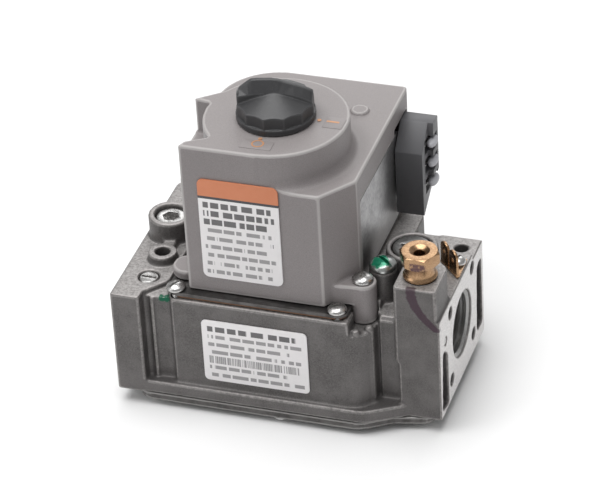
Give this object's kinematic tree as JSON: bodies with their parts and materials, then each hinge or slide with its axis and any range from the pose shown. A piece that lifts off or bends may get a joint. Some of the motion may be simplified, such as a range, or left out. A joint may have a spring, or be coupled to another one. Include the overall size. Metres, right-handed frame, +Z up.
{
  "type": "gas valve",
  "caption": "Combination gas control valve: cast body with threaded inlet and outlet, plastic control cover, ON/OFF knob, solenoid operators, terminals and fittings.",
  "frame": {"origin": "under the middle of the valve's length, on the inlet and outlet ports' axis plane, at the lowest plane, where the bottom plate's pressed dome rests", "axes": "+X from the inlet face to the outlet face, +Y from the labelled front to the back, +Z up towards the knob"},
  "size_m": [0.1046, 0.0732, 0.1097],
  "materials": {
    "cast_metal": "die-cast, dark and speckled, with machined end faces",
    "stamped_steel": "stamped and tumbled",
    "gasket": "brown pressed fibre",
    "rubber": "moulded",
    "bare_steel": "turned",
    "zinc_steel": "zinc plated",
    "grey_plastic": "moulded, fine matt texture",
    "black_plastic": "moulded, satin",
    "copper_wire": "enamelled copper wire",
    "brass": "turned",
    "green_sealed_steel": "zinc plated, with a dab of green sealing lacquer",
    "label_film": "printed film sticker"
  },
  "bodies": {
    "valve": {"bottom_plate": "stamped_steel", "bottom_plate_screw_1": "zinc_steel", "bottom_plate_screw_2": "zinc_steel", "bottom_plate_screw_3": "zinc_steel", "bottom_plate_screw_4": "zinc_steel", "bottom_plate_screw_5": "zinc_steel", "bottom_plate_screw_6": "zinc_steel", "bracket_screw_1": "zinc_steel", "bracket_screw_2": "zinc_steel", "control_cover": "grey_plastic", "cover_label": "label_film", "cover_screw": "zinc_steel", "ground_screw": "zinc_steel", "ground_terminal": "brass", "inlet_screen": "zinc_steel", "inlet_slotted_plug": "bare_steel", "inlet_tap_plug": "bare_steel", "main_coil_bobbin": "black_plastic", "main_coil_core": "bare_steel", "main_coil_winding": "copper_wire", "main_diaphragm": "rubber", "main_plunger_spring": "zinc_steel", "main_valve_spring": "bare_steel", "outlet_face_plug": "zinc_steel", "pilot_coil_bobbin": "black_plastic", "pilot_coil_core": "bare_steel", "pilot_coil_winding": "copper_wire", "pilot_fitting": "brass", "pilot_plunger_spring": "zinc_steel", "pilot_seal_screw": "green_sealed_steel", "port_plate": "bare_steel", "rating_label": "label_film", "regulator_cap": "cast_metal", "regulator_spring": "zinc_steel", "solenoid_bracket": "zinc_steel", "stem_seal": "rubber", "terminal_block": "black_plastic", "terminal_tab_1": "zinc_steel", "terminal_tab_2": "zinc_steel", "terminal_tab_3": "zinc_steel", "top_gasket": "gasket", "top_plate": "stamped_steel", "top_plate_screw_1": "zinc_steel", "top_plate_screw_2": "zinc_steel", "top_plate_screw_3": "zinc_steel", "top_plate_screw_4": "zinc_steel", "valve_body": "cast_metal"},
    "knob": {"control_knob": "black_plastic", "knob_stem": "bare_steel", "rotary_shutoff_disc": "bare_steel"},
    "main_valve": {"main_valve_stem": "bare_steel", "main_valve_disc": "rubber", "diaphragm_plate": "zinc_steel"},
    "pilot_armature": {"pilot_plunger": "bare_steel"},
    "main_armature": {"main_plunger": "bare_steel"},
    "regulator_adjuster": {"regulator_adjust_screw": "black_plastic"},
    "pilot_adjuster": {"pilot_adjust_needle": "brass"}
  },
  "joints": [
    {"name": "knob_turn", "type": "hinge", "parent": "valve", "child": "knob", "pos_m": [-0.00365, -0.0044, 0.0965], "axis": [0, 0, 1], "range_deg": [-106, 0]},
    {"name": "main_valve_lift", "type": "slide", "parent": "valve", "child": "main_valve", "axis": [0, 0, 1], "range_m": [0, 0.0025], "stiffness_N_per_m": 300, "springref_m": -0.005, "deforming": ["main_valve_spring", "main_diaphragm"]},
    {"name": "pilot_plunger_lift", "type": "slide", "parent": "valve", "child": "pilot_armature", "axis": [0, 0, 1], "range_m": [0, 0.0015], "stiffness_N_per_m": 150, "springref_m": -0.004, "deforming": ["pilot_plunger_spring"]},
    {"name": "main_plunger_lift", "type": "slide", "parent": "valve", "child": "main_armature", "axis": [0, 0, 1], "range_m": [0, 0.0015], "stiffness_N_per_m": 150, "springref_m": -0.004, "deforming": ["main_plunger_spring"]},
    {"name": "regulator_adjust", "type": "hinge", "parent": "valve", "child": "regulator_adjuster", "pos_m": [0.03665, 0.0004, 0.0452], "axis": [0, 0, 1], "range_deg": [-540, 540]},
    {"name": "pilot_adjust", "type": "hinge", "parent": "valve", "child": "pilot_adjuster", "pos_m": [0.03055, -0.011, 0.0412], "axis": [0, 0, 1], "range_deg": [-540, 540]}
  ]
}
